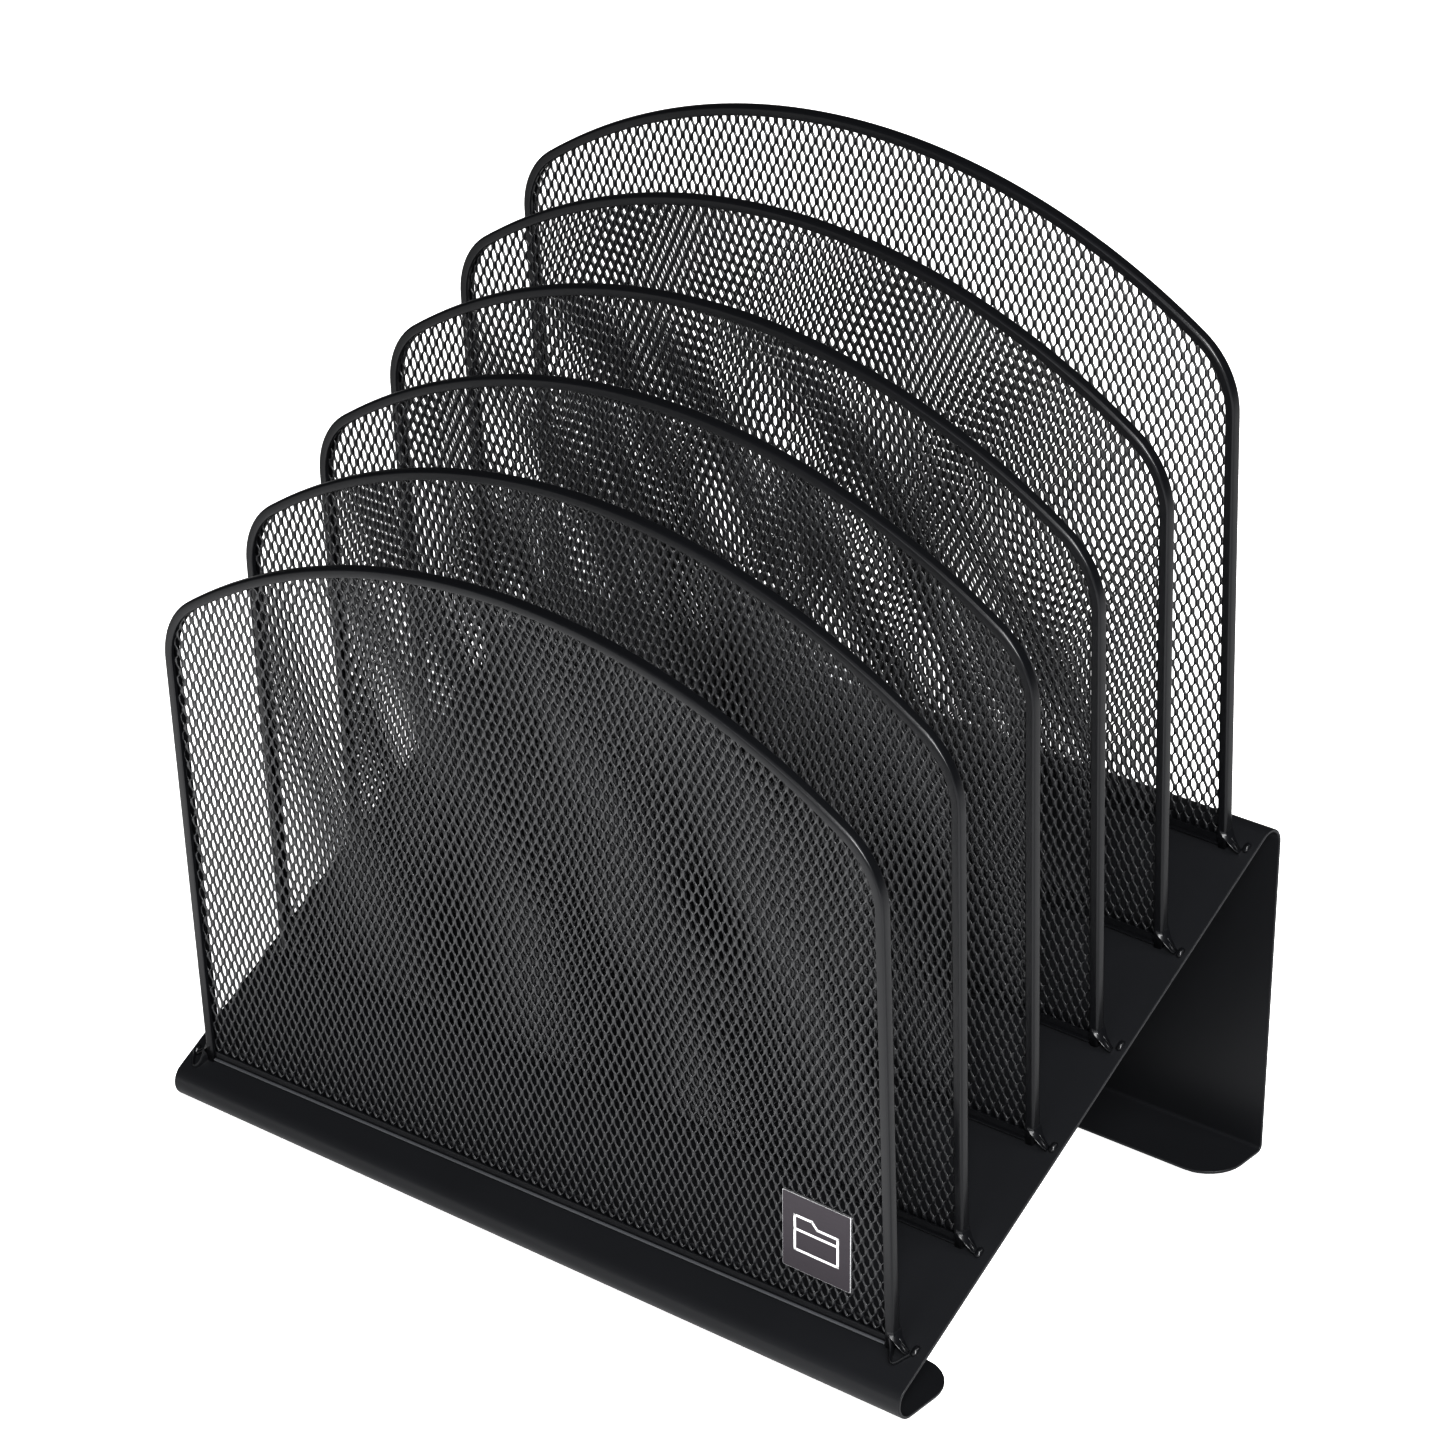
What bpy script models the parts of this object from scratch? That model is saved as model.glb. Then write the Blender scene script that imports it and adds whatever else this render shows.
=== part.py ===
"""Inclined desktop file sorter: a bent sheet-steel base that carries six arched mesh dividers.

Units are metres and +Z is up. The sorter stands on z = 0, its slots run left to right along X, and
the dividers step up towards +Y. The origin is under the middle of the object's bounding box.
"""
import bpy
import bmesh
from math import atan2, cos, pi, radians, sin, sqrt, tan
from mathutils import Matrix, Vector

# Base sheet
SHEET_WIDTH = 0.300
SHEET_THICK = 0.0010
TRAY_SLOPE = radians(30.2)
FRONT_BEND_RADIUS = 0.0062
REAR_BEND_RADIUS = 0.0065
LEG_BEND_RADIUS = 0.0022
FRONT_FLANGE = 0.0323
REAR_FLANGE = 0.0260
FLANGE_CORNER = 0.0136
BASE_DEPTH = 0.1985
FRONT_BEND_STEPS = 9
REAR_BEND_STEPS = 7
LEG_BEND_STEPS = 5
CORNER_STEPS = 5

# Rubber feet
FOOT_RADIUS = 0.0045
FOOT_TAPER = 0.94
FOOT_HEIGHT = 0.0014
FOOT_INSET_X = 0.0149
FOOT_SIDES = 20

# Dividers
DIVIDER_WIDTH = 0.2815
DIVIDER_LEAN = 3.2
DIVIDER_PITCH = 0.0399
FIRST_DIVIDER = 0.0116
SHOULDER_HEIGHT = 0.1635
APEX_HEIGHT = 0.2112
SHOULDER_RADIUS = 0.0283
SHOULDER_STEPS = 6
ARCH_STEPS = 12

# The dividers are welded in by hand, so each sits a little off true. Front to rear: shift to the
# right (metres), turn on the tray (degrees) and extra forward lean (degrees)
DIVIDER_SET = (
    (-0.0014, 0.8, -0.3),
    (-0.0006, 0.1, -0.5),
    (0.0004, 0.1, -0.4),
    (0.0003, -0.5, 0.3),
    (0.0003, -0.8, 0.4),
    (-0.0002, -0.5, 0.5),
)

# Rolled edging round each divider
RIM_WIDTH = 0.0032
RIM_DEPTH = 0.0042
RIM_ROUND = 0.0008
GROOVE_WIDTH = 0.0014
GROOVE_DEPTH = 0.0018

# Expanded-metal panel and the strip along its bottom edge
MESH_THICK = 0.0006
MESH_IN_GROOVE = 0.0013
RAIL_HEIGHT = 0.0034
RAIL_DEPTH = 0.0022
RAIL_WALL = 0.0005
RAIL_ROUND = 0.0004

# Flattened ends of the edging, bent outwards and welded to the tray
TAB_LENGTH = 0.0066
TAB_WIDTH = 0.0044
TAB_THICK = 0.0015
TAB_FORWARD = 0.0010
TAB_ROUND = 0.0004
TAB_END_STEPS = 6

# Badge
BADGE_WIDTH = 0.0256
BADGE_HEIGHT = 0.0278
BADGE_THICK = 0.0008
BADGE_ROUND = 0.0002
BADGE_CENTRE_X = 0.1124
BADGE_CENTRE_Z = 0.0268
BADGE_TURN = radians(2.0)

# Rounded edges, and the angle above which an edge is shaded sharp
EDGE_SEGMENTS = 1
SHARP_ANGLE = radians(50)

GAP = 0.0003
MERGE = 0.00005

FLOOR_TO_SHEET = FOOT_HEIGHT + GAP
SLOPE_DIR = Vector((0, cos(TRAY_SLOPE), sin(TRAY_SLOPE)))
SLOPE_NORMAL = Vector((0, -sin(TRAY_SLOPE), cos(TRAY_SLOPE)))
TRAY_NORMAL_IN_DIVIDER = Matrix.Rotation(-radians(DIVIDER_LEAN), 3, "X") @ SLOPE_NORMAL
TRAY_RISE_IN_DIVIDER = tan(TRAY_SLOPE + radians(DIVIDER_LEAN))


def clear_scene():
    for obj in list(bpy.data.objects):
        bpy.data.objects.remove(obj, do_unlink=True)


def new_collection(name):
    collection = bpy.data.collections.new(name)
    bpy.context.scene.collection.children.link(collection)
    return collection


def material(name, colour, roughness, metallic):
    mat = bpy.data.materials.new(name)
    mat.use_nodes = True
    shader = mat.node_tree.nodes["Principled BSDF"]
    shader.inputs["Base Color"].default_value = (*colour, 1.0)
    shader.inputs["Roughness"].default_value = roughness
    shader.inputs["Metallic"].default_value = metallic
    return mat


def make_materials():
    return {
        "coated_sheet": material("coated_sheet", (0.012, 0.012, 0.013), 0.38, 0.0),
        "coated_rim": material("coated_rim", (0.016, 0.016, 0.017), 0.34, 0.0),
        "coated_mesh": material("coated_mesh", (0.014, 0.014, 0.015), 0.42, 0.0),
        "badge": material("badge", (0.055, 0.050, 0.056), 0.35, 0.6),
        "rubber": material("rubber", (0.010, 0.010, 0.010), 0.75, 0.0),
    }


def add_object(name, mesh, mat, collection):
    obj = bpy.data.objects.new(name, mesh)
    obj.data.materials.clear()
    obj.data.materials.append(mat)
    collection.objects.link(obj)
    return obj


def mesh_from_curve(curve_object, name):
    """Turn a curve object into a welded mesh in world coordinates and remove the curve."""
    bpy.context.view_layer.update()
    evaluated = curve_object.evaluated_get(bpy.context.evaluated_depsgraph_get())
    mesh = bpy.data.meshes.new_from_object(evaluated)
    mesh.name = name
    mesh.transform(curve_object.matrix_world)
    bm = bmesh.new()
    bm.from_mesh(mesh)
    bmesh.ops.remove_doubles(bm, verts=bm.verts, dist=MERGE)
    bmesh.ops.recalc_face_normals(bm, faces=bm.faces)
    bm.to_mesh(mesh)
    bm.free()
    bpy.data.objects.remove(curve_object, do_unlink=True)
    return mesh


def arc(centre, radius, start, end, steps):
    """Points on a circle in a plane, from one angle to the other, both included."""
    angles = [start + (end - start) * i / steps for i in range(steps + 1)]
    return [(centre[0] + radius * cos(a), centre[1] + radius * sin(a)) for a in angles]


# ---------------------------------------------------------------------------------------------
# Divider outline and attitude. A divider is drawn in its own plane: x across, z up its face
# ---------------------------------------------------------------------------------------------

def divider_outline(inset):
    """Points (x, z) of the arched outline from bottom left to bottom right, moved inwards."""
    half = DIVIDER_WIDTH / 2
    sagitta = APEX_HEIGHT - SHOULDER_HEIGHT
    big = (half ** 2 + sagitta ** 2) / (2 * sagitta)
    big_centre = (0.0, APEX_HEIGHT - big)
    small_x = half - SHOULDER_RADIUS
    small_z = big_centre[1] + sqrt((big - SHOULDER_RADIUS) ** 2 - small_x ** 2)
    meet = atan2(small_z - big_centre[1], small_x)
    right = arc((small_x, small_z), SHOULDER_RADIUS - inset, 0, meet, SHOULDER_STEPS)
    top = arc(big_centre, big - inset, meet, pi / 2, ARCH_STEPS)
    half_outline = right + top[1:]
    left = [(-x, z) for x, z in half_outline]
    return left + half_outline[-2::-1]


def divider_turn(index):
    """How a divider is turned on the tray, about the tray's normal."""
    return Matrix.Rotation(radians(DIVIDER_SET[index][1]), 4, SLOPE_NORMAL)


def divider_attitude(index):
    """A divider's whole rotation: it leans forward, then turns on the tray."""
    lean = radians(DIVIDER_LEAN + DIVIDER_SET[index][2])
    return divider_turn(index) @ Matrix.Rotation(lean, 4, "X")


def front_reach():
    """How far the front divider's edging reaches ahead of its foot."""
    attitude = divider_attitude(0)
    edge = [Vector((x, -RIM_DEPTH / 2, z)) for x, z in divider_outline(RIM_ROUND)]
    return max(-(attitude @ point).y for point in edge)


# The front divider reaches a little ahead of the base, and the origin is midway front to back
FRONT_Y = (front_reach() - FIRST_DIVIDER - BASE_DEPTH) / 2
REAR_Y = FRONT_Y + BASE_DEPTH


# ---------------------------------------------------------------------------------------------
# Base sheet
# ---------------------------------------------------------------------------------------------

def base_bends():
    """Centres (y, z) of the three bends, from the outer faces they join."""
    front = Vector((FRONT_Y + FRONT_BEND_RADIUS, FLOOR_TO_SHEET + FRONT_BEND_RADIUS))
    rear_y = REAR_Y - REAR_BEND_RADIUS
    rise = (rear_y - front.x) * tan(TRAY_SLOPE)
    difference = (FRONT_BEND_RADIUS - REAR_BEND_RADIUS) / cos(TRAY_SLOPE)
    rear = Vector((rear_y, front.y + rise + difference))
    leg = Vector((REAR_Y - LEG_BEND_RADIUS, FLOOR_TO_SHEET + LEG_BEND_RADIUS))
    return front, rear, leg


def tray_top(y):
    """Height of the tray's top face at a depth y."""
    front = base_bends()[0]
    touch = front + FRONT_BEND_RADIUS * Vector((-sin(TRAY_SLOPE), cos(TRAY_SLOPE)))
    return touch.y + (y - touch.x) * tan(TRAY_SLOPE)


def flange_half_width(along):
    """Half width of a flange at a distance from its free edge, with a rounded corner."""
    half = SHEET_WIDTH / 2
    if along >= FLANGE_CORNER:
        return half
    inside = FLANGE_CORNER - along
    return half - FLANGE_CORNER + sqrt(FLANGE_CORNER ** 2 - inside ** 2)


def flange_stations():
    """Distances from a flange's free edge at which its outline has a point."""
    return [FLANGE_CORNER * (1 - cos(pi / 2 * i / CORNER_STEPS)) for i in range(CORNER_STEPS + 1)]


def base_outline():
    """Rows (y, z, half width) of the sheet's outer face, from the front flange to the rear one."""
    front, rear, leg = base_bends()
    free_front = FRONT_Y + FRONT_FLANGE
    rows = [(free_front - d, FLOOR_TO_SHEET, flange_half_width(d)) for d in flange_stations()]
    half = SHEET_WIDTH / 2
    curl = arc(front, FRONT_BEND_RADIUS, -pi / 2, -3 * pi / 2 + TRAY_SLOPE, FRONT_BEND_STEPS)
    crest = arc(rear, REAR_BEND_RADIUS, pi / 2 + TRAY_SLOPE, 0, REAR_BEND_STEPS)
    heel = arc(leg, LEG_BEND_RADIUS, 0, -pi / 2, LEG_BEND_STEPS)
    rows += [(y, z, half) for y, z in curl + crest + heel]
    free_rear = REAR_Y - REAR_FLANGE
    stations = reversed(flange_stations())
    rows += [(free_rear + d, FLOOR_TO_SHEET, flange_half_width(d)) for d in stations]
    return rows


def make_base(mats, collection):
    """The bent sheet is an open surface on its outer face, thickened inwards."""
    bm = bmesh.new()
    previous = None
    for y, z, half in base_outline():
        pair = [bm.verts.new((side * half, y, z)) for side in (-1, 1)]
        if previous:
            bm.faces.new((previous[0], previous[1], pair[1], pair[0]))
        previous = pair
    bmesh.ops.recalc_face_normals(bm, faces=bm.faces)
    mesh = bpy.data.meshes.new("base_tray")
    bm.to_mesh(mesh)
    bm.free()
    obj = add_object("base_tray", mesh, mats["coated_sheet"], collection)
    mesh.shade_smooth()
    solid = obj.modifiers.new("thickness", "SOLIDIFY")
    solid.thickness = SHEET_THICK
    solid.offset = -1.0
    solid.use_even_offset = True
    return obj


def make_feet(mats, collection):
    y_rows = {
        "front": FRONT_Y + FRONT_BEND_RADIUS + FOOT_RADIUS - GAP,
        "rear": REAR_Y - REAR_FLANGE / 2 - LEG_BEND_RADIUS / 2,
    }
    for row, y in y_rows.items():
        for side, sign in (("left", -1), ("right", 1)):
            bm = bmesh.new()
            bmesh.ops.create_cone(
                bm, cap_ends=True, segments=FOOT_SIDES,
                radius1=FOOT_RADIUS * FOOT_TAPER, radius2=FOOT_RADIUS, depth=FOOT_HEIGHT)
            name = f"foot_{row}_{side}"
            mesh = bpy.data.meshes.new(name)
            bm.to_mesh(mesh)
            bm.free()
            obj = add_object(name, mesh, mats["rubber"], collection)
            obj.location = (sign * (SHEET_WIDTH / 2 - FOOT_INSET_X), y, FOOT_HEIGHT / 2)
            mesh.shade_smooth()
            mesh.set_sharp_from_angle(angle=SHARP_ANGLE)


# ---------------------------------------------------------------------------------------------
# Dividers
# ---------------------------------------------------------------------------------------------

def divider_foot(index):
    """Middle of a divider's foot, on the sloping tray."""
    y = FRONT_Y + FIRST_DIVIDER + index * DIVIDER_PITCH * cos(TRAY_SLOPE)
    return Vector((DIVIDER_SET[index][0], y, tray_top(y)))


def divider_matrix(index):
    return Matrix.Translation(divider_foot(index)) @ divider_attitude(index)


def poly_curve(name, points, cyclic, dimensions="3D"):
    curve = bpy.data.curves.new(name, "CURVE")
    curve.dimensions = dimensions
    spline = curve.splines.new("POLY")
    spline.points.add(len(points) - 1)
    for point, co in zip(spline.points, points):
        point.co = (*co, 1.0)
    spline.use_cyclic_u = cyclic
    return curve


def rim_section():
    """Channel section of the edging: x inwards, y through the divider, open on the inner side."""
    w = RIM_WIDTH / 2
    d = RIM_DEPTH / 2
    r = RIM_ROUND
    g = GROOVE_WIDTH / 2
    bottom = w - GROOVE_DEPTH
    return [(-w + r, -d), (w - r, -d), (w, -d + r), (w, -g), (bottom, -g), (bottom, g), (w, g),
            (w, d - r), (w - r, d), (-w + r, d), (-w, d - r), (-w, -d + r)]


def rim_path():
    """Middle of the edging, from below the tray's face on the left, over the arch, to the right."""
    top = divider_outline(RIM_WIDTH / 2)
    side = DIVIDER_WIDTH / 2 - RIM_WIDTH / 2
    return [(-side, -RIM_DEPTH)] + top + [(side, -RIM_DEPTH)]


def trim_at_tray(mesh):
    """Cut a divider's mesh off just above the tray, and close the cut."""
    bm = bmesh.new()
    bm.from_mesh(mesh)
    bmesh.ops.bisect_plane(
        bm, geom=bm.verts[:] + bm.edges[:] + bm.faces[:], plane_co=TRAY_NORMAL_IN_DIVIDER * GAP,
        plane_no=TRAY_NORMAL_IN_DIVIDER, clear_inner=True)
    bmesh.ops.holes_fill(bm, edges=bm.edges)
    bmesh.ops.recalc_face_normals(bm, faces=bm.faces)
    bm.to_mesh(mesh)
    bm.free()


def make_rim_mesh():
    """Sweep the channel section along the arched path, then trim both ends to the tray."""
    points = [(x, y, 0) for x, y in rim_section()]
    section = bpy.data.objects.new("rim_section", poly_curve("rim_section", points, True, "2D"))
    bpy.context.scene.collection.objects.link(section)
    curve = poly_curve("rim_path", [(x, z, 0) for x, z in rim_path()], False, "2D")
    curve.bevel_mode = "OBJECT"
    curve.bevel_object = section
    curve.use_fill_caps = True
    path = bpy.data.objects.new("rim_path", curve)
    path.rotation_euler = (pi / 2, 0, 0)
    bpy.context.scene.collection.objects.link(path)
    mesh = mesh_from_curve(path, "divider_rim")
    bpy.data.objects.remove(section, do_unlink=True)
    trim_at_tray(mesh)
    mesh.shade_smooth()
    mesh.set_sharp_from_angle(angle=SHARP_ANGLE)
    return mesh


def extruded_outline(name, points, thickness, turn):
    """A filled 2D outline, given half its thickness on each side and then turned."""
    curve = poly_curve(name, [(x, y, 0) for x, y in points], True, "2D")
    curve.fill_mode = "BOTH"
    curve.extrude = thickness / 2
    obj = bpy.data.objects.new(name, curve)
    bpy.context.scene.collection.objects.link(obj)
    obj.rotation_euler = turn
    return mesh_from_curve(obj, name)


def rail_floor():
    """Height of the strip's underside: its rear corner is the one nearest the rising tray."""
    return RAIL_DEPTH / 2 * TRAY_RISE_IN_DIVIDER + 2 * GAP


def make_mesh_panel():
    inset = RIM_WIDTH - MESH_IN_GROOVE
    side = DIVIDER_WIDTH / 2 - inset
    floor = rail_floor() + RAIL_WALL + GAP
    points = [(-side, floor)] + divider_outline(inset) + [(side, floor)]
    return extruded_outline("divider_mesh", points, MESH_THICK, (pi / 2, 0, 0))


def make_rail_mesh():
    """A strip folded up round the lower edge of the panel, between the two sides of the edging."""
    d = RAIL_DEPTH / 2
    inner = d - RAIL_WALL
    low = rail_floor()
    high = low + RAIL_HEIGHT
    r = RAIL_ROUND
    points = [(-d, low + r), (-d + r, low), (d - r, low), (d, low + r), (d, high), (inner, high),
              (inner, low + RAIL_WALL), (-inner, low + RAIL_WALL), (-inner, high), (-d, high)]
    length = DIVIDER_WIDTH - 2 * RIM_WIDTH - 2 * GAP
    return extruded_outline("divider_rail", points, length, (pi / 2, 0, pi / 2))


def make_tab_mesh():
    """A tongue with a round end, lying along +X from the outer face of the edging."""
    half = TAB_WIDTH / 2
    end = arc((TAB_LENGTH - half, 0), half, -pi / 2, pi / 2, TAB_END_STEPS)
    points = [(0, -half)] + end + [(0, half)]
    return extruded_outline("weld_tab", points, TAB_THICK, (0, 0, 0))


def make_dividers(mats, collection):
    rim = make_rim_mesh()
    panel = make_mesh_panel()
    rail = make_rail_mesh()
    for index in range(len(DIVIDER_SET)):
        number = index + 1
        place = divider_matrix(index)
        pieces = [
            add_object(f"divider_rim_{number}", rim, mats["coated_rim"], collection),
            add_object(f"divider_mesh_{number}", panel, mats["coated_mesh"], collection),
            add_object(f"divider_rail_{number}", rail, mats["coated_rim"], collection),
        ]
        for piece in pieces:
            piece.matrix_world = place


def make_tabs(mats, collection):
    tab = make_tab_mesh()
    lift = SLOPE_NORMAL * (TAB_THICK / 2 + GAP)
    for index in range(len(DIVIDER_SET)):
        foot = divider_foot(index) + lift
        for side, sign, flip in (("left", -1, pi), ("right", 1, 0)):
            obj = add_object(f"weld_tab_{side}_{index + 1}", tab, mats["coated_rim"], collection)
            start = Vector((sign * (DIVIDER_WIDTH / 2 + GAP), 0, 0)) - SLOPE_DIR * TAB_FORWARD
            tilt = Matrix.Rotation(TRAY_SLOPE, 4, "X") @ Matrix.Rotation(flip, 4, "Z")
            place = Matrix.Translation(foot) @ divider_turn(index)
            obj.matrix_world = place @ Matrix.Translation(start) @ tilt
            bevel = obj.modifiers.new("edges", "BEVEL")
            bevel.width = TAB_ROUND
            bevel.segments = EDGE_SEGMENTS
            bevel.limit_method = "ANGLE"


def make_badge(mats, collection):
    """A small plate on the face of the front divider."""
    bpy.ops.mesh.primitive_cube_add(size=1.0)
    obj = bpy.context.object
    for owner in list(obj.users_collection):
        owner.objects.unlink(obj)
    collection.objects.link(obj)
    obj.name = "badge_plate"
    obj.data.name = "badge_plate"
    obj.data.transform(Matrix.Diagonal((BADGE_WIDTH, BADGE_THICK, BADGE_HEIGHT, 1.0)))
    obj.data.materials.append(mats["badge"])
    ahead = MESH_THICK / 2 + GAP + BADGE_THICK / 2
    local = Matrix.Translation((BADGE_CENTRE_X, -ahead, BADGE_CENTRE_Z))
    turn = Matrix.Rotation(BADGE_TURN, 4, "Y")
    obj.matrix_world = divider_matrix(0) @ local @ turn
    bevel = obj.modifiers.new("edges", "BEVEL")
    bevel.width = BADGE_ROUND
    bevel.segments = EDGE_SEGMENTS


def main():
    clear_scene()
    collection = new_collection("desktop_file_sorter")
    mats = make_materials()
    make_base(mats, collection)
    make_feet(mats, collection)
    make_dividers(mats, collection)
    make_tabs(mats, collection)
    make_badge(mats, collection)


main()
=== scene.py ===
from math import atan2, cos, pi, radians, sin, sqrt, tan

import bmesh
import bpy
import numpy as np
from mathutils import Matrix, Vector


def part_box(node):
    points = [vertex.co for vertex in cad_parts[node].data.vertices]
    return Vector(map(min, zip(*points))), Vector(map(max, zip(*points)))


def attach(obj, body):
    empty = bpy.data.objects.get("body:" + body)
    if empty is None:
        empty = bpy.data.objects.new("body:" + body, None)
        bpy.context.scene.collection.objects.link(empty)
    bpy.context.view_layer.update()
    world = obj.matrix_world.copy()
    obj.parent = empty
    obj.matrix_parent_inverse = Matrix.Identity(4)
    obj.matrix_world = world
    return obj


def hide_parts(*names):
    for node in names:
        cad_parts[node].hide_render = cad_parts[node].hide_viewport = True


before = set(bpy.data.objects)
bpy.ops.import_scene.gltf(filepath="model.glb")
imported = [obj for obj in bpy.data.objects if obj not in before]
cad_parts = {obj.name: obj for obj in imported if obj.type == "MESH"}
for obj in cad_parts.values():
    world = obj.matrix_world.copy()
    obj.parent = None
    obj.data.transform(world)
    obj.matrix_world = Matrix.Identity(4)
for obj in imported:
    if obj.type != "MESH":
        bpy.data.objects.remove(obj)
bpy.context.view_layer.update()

# ---------------------------------------------------------------------------------------------
# Sizes, in metres. The first ones are read from the frame; the rest describe fine detail.
# ---------------------------------------------------------------------------------------------

BASE_LOW, BASE_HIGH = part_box("base_tray")
SHEET_BOTTOM = BASE_LOW.z
SHEET_WIDTH = BASE_HIGH.x - BASE_LOW.x
REAR_Y = BASE_HIGH.y

SHEET_THICK = 0.0010
TRAY_SLOPE = radians(30.2)
FRONT_BEND_RADIUS = 0.0062
REAR_BEND_RADIUS = 0.0065
LEG_BEND_RADIUS = 0.0022
FRONT_FLANGE = 0.0323
REAR_FLANGE = 0.0260
FLANGE_CORNER = 0.0136
BASE_DEPTH = 0.1985
FRONT_Y = REAR_Y - BASE_DEPTH
SHEET_EDGE = 0.00044

DIVIDER_WIDTH = 0.2815
DIVIDER_LEAN = 3.2
DIVIDER_PITCH = 0.0399
FIRST_DIVIDER = 0.0116
SHOULDER_HEIGHT = 0.1635
APEX_HEIGHT = 0.2112
SHOULDER_RADIUS = 0.0283
RIM_WIDTH = 0.0032
RIM_DEPTH = 0.0042

# How each divider stands, front to rear: shift to the right (metres), turn on the tray (degrees)
# and extra forward lean (degrees)
DIVIDER_SET = (
    (-0.0014, 0.8, -0.3),
    (-0.0006, 0.1, -0.5),
    (0.0004, 0.1, -0.4),
    (0.0003, -0.5, 0.3),
    (0.0003, -0.8, 0.4),
    (-0.0002, -0.5, 0.5),
)

# Section of the edging: radii of its rear and front outer corners and of its two lips, then half
# the width of its mouth and of the slot behind it, the depth of the flare and that of the slot
RIM_REAR_RADIUS = 0.0013
RIM_FRONT_RADIUS = 0.0009
RIM_LIP_RADIUS = 0.0005
MOUTH_HALF = 0.00075
SLOT_HALF = 0.00066
MOUTH_FLARE = 0.0004
SLOT_DEPTH = 0.0018

# Heights of the cross-sections up the straight sides of the edging
SIDE_STOPS = (-RIM_DEPTH, 0.004, 0.05, 0.10)

# Bottom rail: its depth, the gap under its rear corner, how far its ends go into the edging, its
# walls' thickness, the heights of the front and rear wall, the chamfer of the front one and the
# radius of the rear fold. The front wall also reaches down to a rolled foot, given by its centre
# (y, and z from the rail's underside) and its radius
RAIL_DEPTH = 0.0022
RAIL_GAP = 0.0004
RAIL_IN_RIM = 0.0004
RAIL_WALL = 0.0005
RAIL_FRONT = 0.0017
RAIL_BACK = 0.0040
RAIL_CHAMFER = 0.0001
RAIL_FOLD = 0.0006
RAIL_ROLL = ((-0.0015, -0.0012), 0.0005)

# Painted highlight, a paler strip on the front rail's foot: how far it stands proud, its depth in
# the foot, where it starts and ends round the foot, and how far it stops short of the edging
HIGHLIGHT_PROUD = 0.00006
HIGHLIGHT_DEPTH = 0.0001
HIGHLIGHT_START = radians(75)
HIGHLIGHT_END = radians(200)
HIGHLIGHT_SHORT = 0.0002

# Expanded metal: hole pitch across and up, bond length, height of the bond's crown and how far
# it is above the bond's middle, strand width, which is half the bond's, sheet gauge, strand twist,
# how far a panel goes into the edging, and how far it stays above the rail's underside
MESH_ACROSS = 0.00350
MESH_UP = 0.00680
BOND_LENGTH = 0.0019
BOND_CROWN = 0.00030
CROWN_UP = 0.00030
STRAND_WIDTH = 0.00055
MESH_GAUGE = 0.00036
STRAND_TWIST = radians(28)
MESH_EDGE_IN_RIM = 0.0012
MESH_ABOVE_RAIL = 0.0008

# A bond has a face of 3 by 3 corners in front, and the same again behind
FACE_CORNERS = 9
BOND_CORNERS = 18

# How each panel was cut from its sheet: skew of the diamonds (degrees), shift across and up
# (metres), and how far its middle bows forward (metres)
PANEL_SET = (
    (1.5, 0.0000, 0.0021, 0.0005),
    (0.6, 0.0009, 0.0006, -0.0006),
    (-0.4, 0.0002, 0.0030, 0.0004),
    (0.9, 0.0014, 0.0011, 0.0008),
    (-0.8, 0.0006, 0.0024, -0.0005),
    (0.3, 0.0011, 0.0002, 0.0006),
)

# Feet of the edging: how far they are bent downhill, and the thickness of their walls
TAB_FORWARD = 0.0014
TAB_WALL = 0.0006
LIP_WALL = 0.00035

# Weld beads: half sizes, height of the middle above the tray, and for each divider's feet the
# distance out from the edging and uphill along the tray
BEAD_SIZE = (0.0012, 0.0019, 0.0010)
BEAD_HEIGHT = 0.0003
BEADS = {
    "right": ((0.0066, 0.0002), (0.0056, -0.0012), (0.0062, -0.0002), (0.0066, 0.0012),
              (0.0064, -0.0010), (0.0062, 0.0008)),
    "left": ((0.0060, -0.0004), (0.0062, 0.0006), (0.0058, 0.0000), (0.0064, -0.0008),
             (0.0060, 0.0004), (0.0062, -0.0004)),
}

# Badge, drawn flat: x across, z up, y through it. A bright bevelled plate carries a dark face that
# stays a margin inside its edge
BADGE_WIDTH = 0.0256
BADGE_HEIGHT = 0.0278
BADGE_THICK = 0.0008
BADGE_CORNER = 0.0006
BADGE_BEVEL = 0.0002
BADGE_MARGIN = 0.0003
BADGE_CENTRE = (0.1124, 0.0268)
BADGE_AHEAD = 0.0010
BADGE_TURN = radians(2.0)
FACE_CORNER = 0.0004

# Distances back from the badge's front, which is the front of its drawing: the plate's front, the
# face's front and the face's back. Then the drawing: its lines' width and thickness, the outline
# of the folder and the line across it
PLATE_BEHIND = 0.00008
FACE_BEHIND = 0.00004
FACE_BACK = 0.0003
LINE_WIDTH = 0.0009
LINE_THICK = 0.0002
FOLDER = ((-0.0080, -0.0062), (0.0080, -0.0062), (0.0080, 0.0040), (0.0004, 0.0040),
          (-0.0016, 0.0062), (-0.0080, 0.0062))
FOLDER_LINE = ((-0.0080, 0.0012), (0.0080, 0.0012))

# Rubber pads: rounding of the lower edge, how far they reach up past their node, the hollow
# underneath as shares of the radius (its edge, its flat top), and the hollow's depth
PAD_ROUND = 0.0004
PAD_UP = 0.0003
PAD_HOLLOW = (0.6, 0.55)
PAD_HOLLOW_DEPTH = 0.0002

# Distances at which two corners count as one, in a panel and in a pad
PANEL_WELD = 1e-7
PAD_WELD = 1e-6

# Camera: the angle that the sorter is seen from, and a long lens
CAMERA_AIM = Vector((0.00013, FRONT_Y + 0.10383, SHEET_BOTTOM + 0.14607))
CAMERA_AZIMUTH = radians(38.674)
CAMERA_ELEVATION = radians(26.381)
CAMERA_DISTANCE = 1.44395
SENSOR = 36.0
LENS = 113.775

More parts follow.
